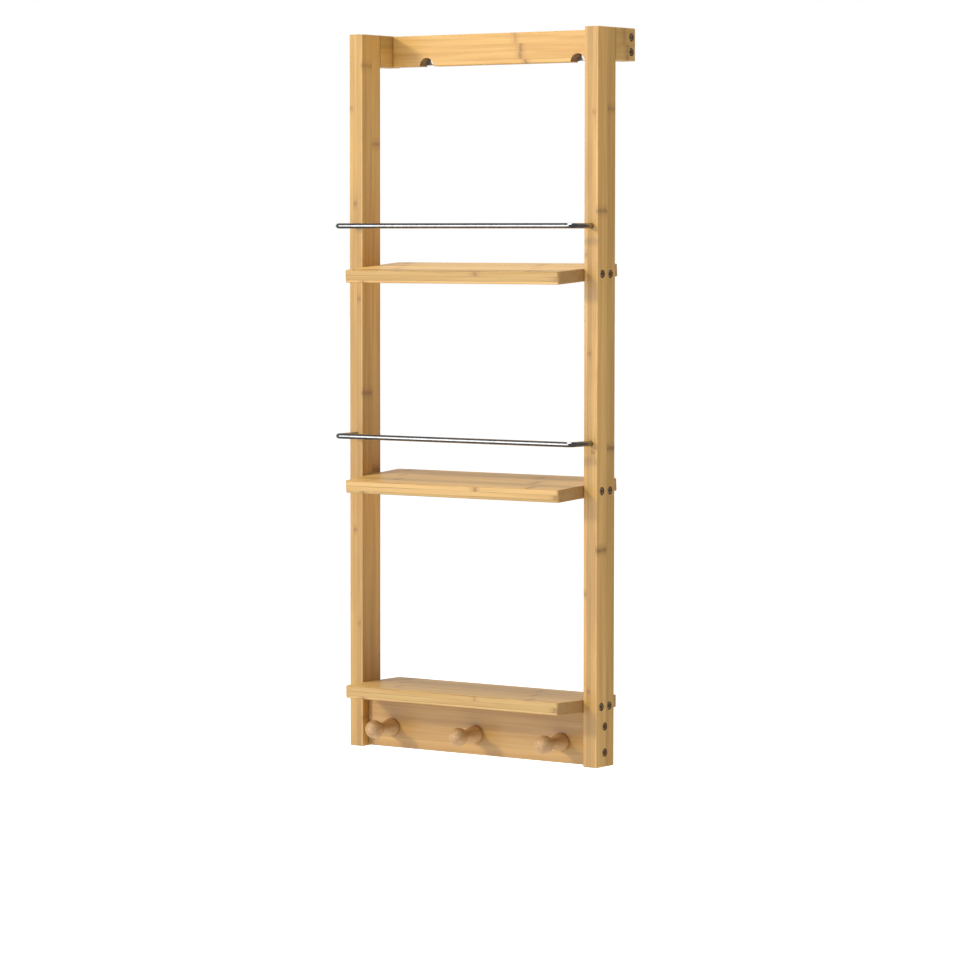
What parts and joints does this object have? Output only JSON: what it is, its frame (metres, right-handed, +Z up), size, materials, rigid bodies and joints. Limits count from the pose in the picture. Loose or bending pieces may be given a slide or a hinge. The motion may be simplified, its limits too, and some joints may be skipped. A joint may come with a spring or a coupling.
{
  "type": "shower caddy",
  "caption": "Wall-hung bamboo shower caddy: two posts carry open shelves with steel guard rails, a peg rail with ball pegs below, and a crossbar that hangs on keyhole plates.",
  "frame": {"origin": "centre of the crossbar's back face, which lies against the wall", "axes": "+X to the right seen from the front, +Y towards the wall, +Z up"},
  "size_m": [0.313, 0.1033, 0.743],
  "materials": {
    "post_bamboo": "laminated carbonised bamboo, satin lacquer",
    "shelf_bamboo": "laminated carbonised bamboo board, satin lacquer",
    "peg_wood": "turned close-grained wood, satin lacquer",
    "dowel_wood": "plain beech dowel, unfinished",
    "polished_steel": "polished stainless rod",
    "screw_steel": "dark bronze plated screw",
    "plate_steel": "zinc plated steel plate"
  },
  "bodies": {
    "root": {"left_post": "post_bamboo", "right_post": "post_bamboo", "left_arm": "post_bamboo", "right_arm": "post_bamboo", "top_crossbar": "post_bamboo", "peg_rail": "post_bamboo", "upper_shelf": "shelf_bamboo", "middle_shelf": "shelf_bamboo", "lower_shelf": "shelf_bamboo", "left_peg": "peg_wood", "middle_peg": "peg_wood", "right_peg": "peg_wood", "left_upper_dowel": "dowel_wood", "left_lower_dowel": "dowel_wood", "right_upper_dowel": "dowel_wood", "right_lower_dowel": "dowel_wood", "upper_rail": "polished_steel", "middle_rail": "polished_steel", "left_keyhole_plate": "plate_steel", "right_keyhole_plate": "plate_steel", "left_plate_inner_screw": "screw_steel", "left_plate_outer_screw": "screw_steel", "right_plate_inner_screw": "screw_steel", "right_plate_outer_screw": "screw_steel", "left_arm_upper_screw": "screw_steel", "left_arm_lower_screw": "screw_steel", "right_arm_upper_screw": "screw_steel", "right_arm_lower_screw": "screw_steel", "upper_shelf_left_front_screw": "screw_steel", "upper_shelf_left_back_screw": "screw_steel", "upper_shelf_right_front_screw": "screw_steel", "upper_shelf_right_back_screw": "screw_steel", "middle_shelf_left_front_screw": "screw_steel", "middle_shelf_left_back_screw": "screw_steel", "middle_shelf_right_front_screw": "screw_steel", "middle_shelf_right_back_screw": "screw_steel", "lower_shelf_left_front_screw": "screw_steel", "lower_shelf_left_back_screw": "screw_steel", "lower_shelf_right_front_screw": "screw_steel", "lower_shelf_right_back_screw": "screw_steel", "peg_rail_left_upper_screw": "screw_steel", "peg_rail_left_lower_screw": "screw_steel", "peg_rail_right_upper_screw": "screw_steel", "peg_rail_right_lower_screw": "screw_steel", "left_peg_screw": "screw_steel", "middle_peg_screw": "screw_steel", "right_peg_screw": "screw_steel"}
  },
  "joints": []
}
